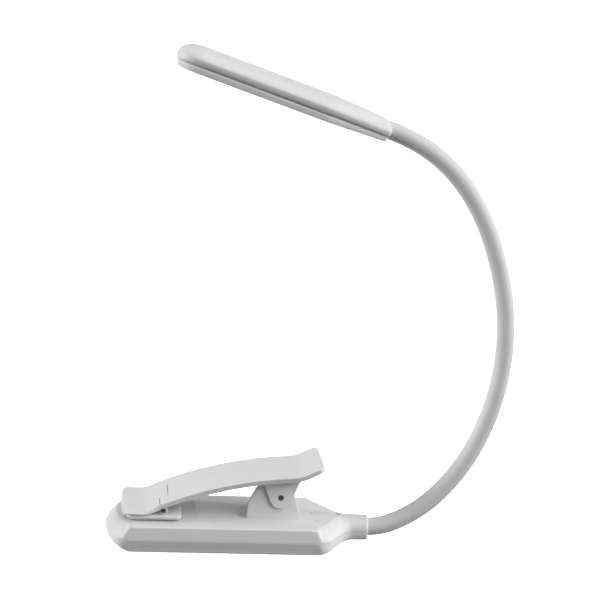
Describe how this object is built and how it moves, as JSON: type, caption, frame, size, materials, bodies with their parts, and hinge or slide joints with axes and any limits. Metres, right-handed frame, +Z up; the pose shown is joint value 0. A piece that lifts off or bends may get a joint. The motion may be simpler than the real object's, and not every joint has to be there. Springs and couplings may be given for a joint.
{
  "type": "clip-on reading lamp",
  "caption": "Slim rechargeable reading lamp: flat battery base with a sprung clip, bendable gooseneck and a small light bar.",
  "frame": {"origin": "middle of the flat underside of the base, halfway along its length and width", "axes": "+Z up from the underside, +X from the clip's mouth towards the neck, +Y to the side with the charging socket"},
  "size_m": [0.1378, 0.036, 0.1699],
  "materials": {
    "shell_plastic": "satin",
    "lever_plastic": "satin",
    "sleeve_silicone": "matte",
    "grip_silicone": "matte",
    "diffuser_plastic": "matte",
    "pin_steel": "satin",
    "spring_steel": "satin",
    "core_steel": "satin",
    "ferrule_brass": "satin",
    "screw_steel": "satin",
    "socket_steel": "satin",
    "cell_foil": "satin",
    "board_laminate": "satin",
    "light_board_aluminium": "matte",
    "chip_plastic": "matte",
    "led_plastic": "gloss",
    "pipe_plastic": "gloss"
  },
  "bodies": {
    "base": {"base_top_shell": "shell_plastic", "base_bottom_shell": "shell_plastic", "battery_cell": "cell_foil", "control_board": "board_laminate", "board_components": "chip_plastic", "usb_socket": "socket_steel", "touch_spring": "spring_steel", "indicator_led": "led_plastic", "indicator_light_pipe": "pipe_plastic", "grip_inlay": "grip_silicone", "base_screws": "screw_steel", "pivot_pin": "pin_steel", "torsion_spring": "spring_steel", "neck_root_sleeve": "sleeve_silicone", "neck_root_core": "core_steel", "root_ferrule": "ferrule_brass"},
    "lever": {"clip_lever": "lever_plastic", "jaw_pin": "pin_steel"},
    "jaw": {"jaw_carrier": "lever_plastic", "jaw_sole": "grip_silicone"},
    "neck_1": {"neck_sleeve_1": "sleeve_silicone", "neck_core_1": "core_steel"},
    "neck_2": {"neck_sleeve_2": "sleeve_silicone", "neck_core_2": "core_steel"},
    "neck_3": {"neck_sleeve_3": "sleeve_silicone", "neck_core_3": "core_steel"},
    "neck_4": {"neck_sleeve_4": "sleeve_silicone", "neck_core_4": "core_steel"},
    "neck_5": {"neck_sleeve_5": "sleeve_silicone", "neck_core_5": "core_steel"},
    "neck_6": {"neck_sleeve_6": "sleeve_silicone", "neck_core_6": "core_steel"},
    "neck_7": {"neck_sleeve_7": "sleeve_silicone", "neck_core_7": "core_steel"},
    "neck_8": {"neck_sleeve_8": "sleeve_silicone", "neck_core_8": "core_steel"},
    "head": {"neck_end_sleeve": "sleeve_silicone", "neck_end_core": "core_steel", "head_top_shell": "shell_plastic", "head_lower_frame": "shell_plastic", "diffuser_lens": "diffuser_plastic", "light_board": "light_board_aluminium", "light_sources": "led_plastic", "head_ferrule": "ferrule_brass", "head_screws": "screw_steel"}
  },
  "joints": [
    {"name": "lever_pivot", "type": "hinge", "parent": "base", "child": "lever", "pos_m": [0.01455, 0, 0.01784], "axis": [0, 1, 0], "range_deg": [0, 18], "stiffness_Nm_per_rad": 0.35, "springref_deg": -34.38, "deforming": ["torsion_spring"]},
    {"name": "jaw_swing", "type": "hinge", "parent": "lever", "child": "jaw", "pos_m": [-0.0254, 0, 0.0137], "axis": [0, 1, 0], "range_deg": [-6.5, 0]},
    {"name": "neck_bend_1", "type": "hinge", "parent": "base", "child": "neck_1", "pos_m": [0.05476, 0, 0.00718], "axis": [0, -1, 0], "range_deg": [-25, 12]},
    {"name": "neck_sway_2", "type": "hinge", "parent": "neck_1", "child": "neck_2", "pos_m": [0.07056, 0, 0.01835], "axis": [-0.7373, 0, 0.6756], "range_deg": [-20, 20]},
    {"name": "neck_bend_3", "type": "hinge", "parent": "neck_2", "child": "neck_3", "pos_m": [0.0815, 0, 0.03441], "axis": [0, -1, 0], "range_deg": [-25, 12]},
    {"name": "neck_sway_4", "type": "hinge", "parent": "neck_3", "child": "neck_4", "pos_m": [0.08791, 0, 0.05278], "axis": [-0.9763, 0, 0.2164], "range_deg": [-20, 20]},
    {"name": "neck_bend_5", "type": "hinge", "parent": "neck_4", "child": "neck_5", "pos_m": [0.08995, 0, 0.07213], "axis": [0, -1, 0], "range_deg": [-25, 12]},
    {"name": "neck_sway_6", "type": "hinge", "parent": "neck_5", "child": "neck_6", "pos_m": [0.08766, 0, 0.09146], "axis": [-0.9744, 0, -0.225], "range_deg": [-20, 20]},
    {"name": "neck_bend_7", "type": "hinge", "parent": "neck_6", "child": "neck_7", "pos_m": [0.08156, 0, 0.10995], "axis": [0, -1, 0], "range_deg": [-25, 12]},
    {"name": "neck_sway_8", "type": "hinge", "parent": "neck_7", "child": "neck_8", "pos_m": [0.07148, 0, 0.12657], "axis": [-0.7771, 0, -0.6293], "range_deg": [-20, 20]},
    {"name": "neck_bend_9", "type": "hinge", "parent": "neck_8", "child": "head", "pos_m": [0.05663, 0, 0.13903], "axis": [0, -1, 0], "range_deg": [-25, 12]}
  ],
  "couplings": [
    {"joint": "jaw_swing", "follows": "lever_pivot", "ratio": -0.33333}
  ]
}
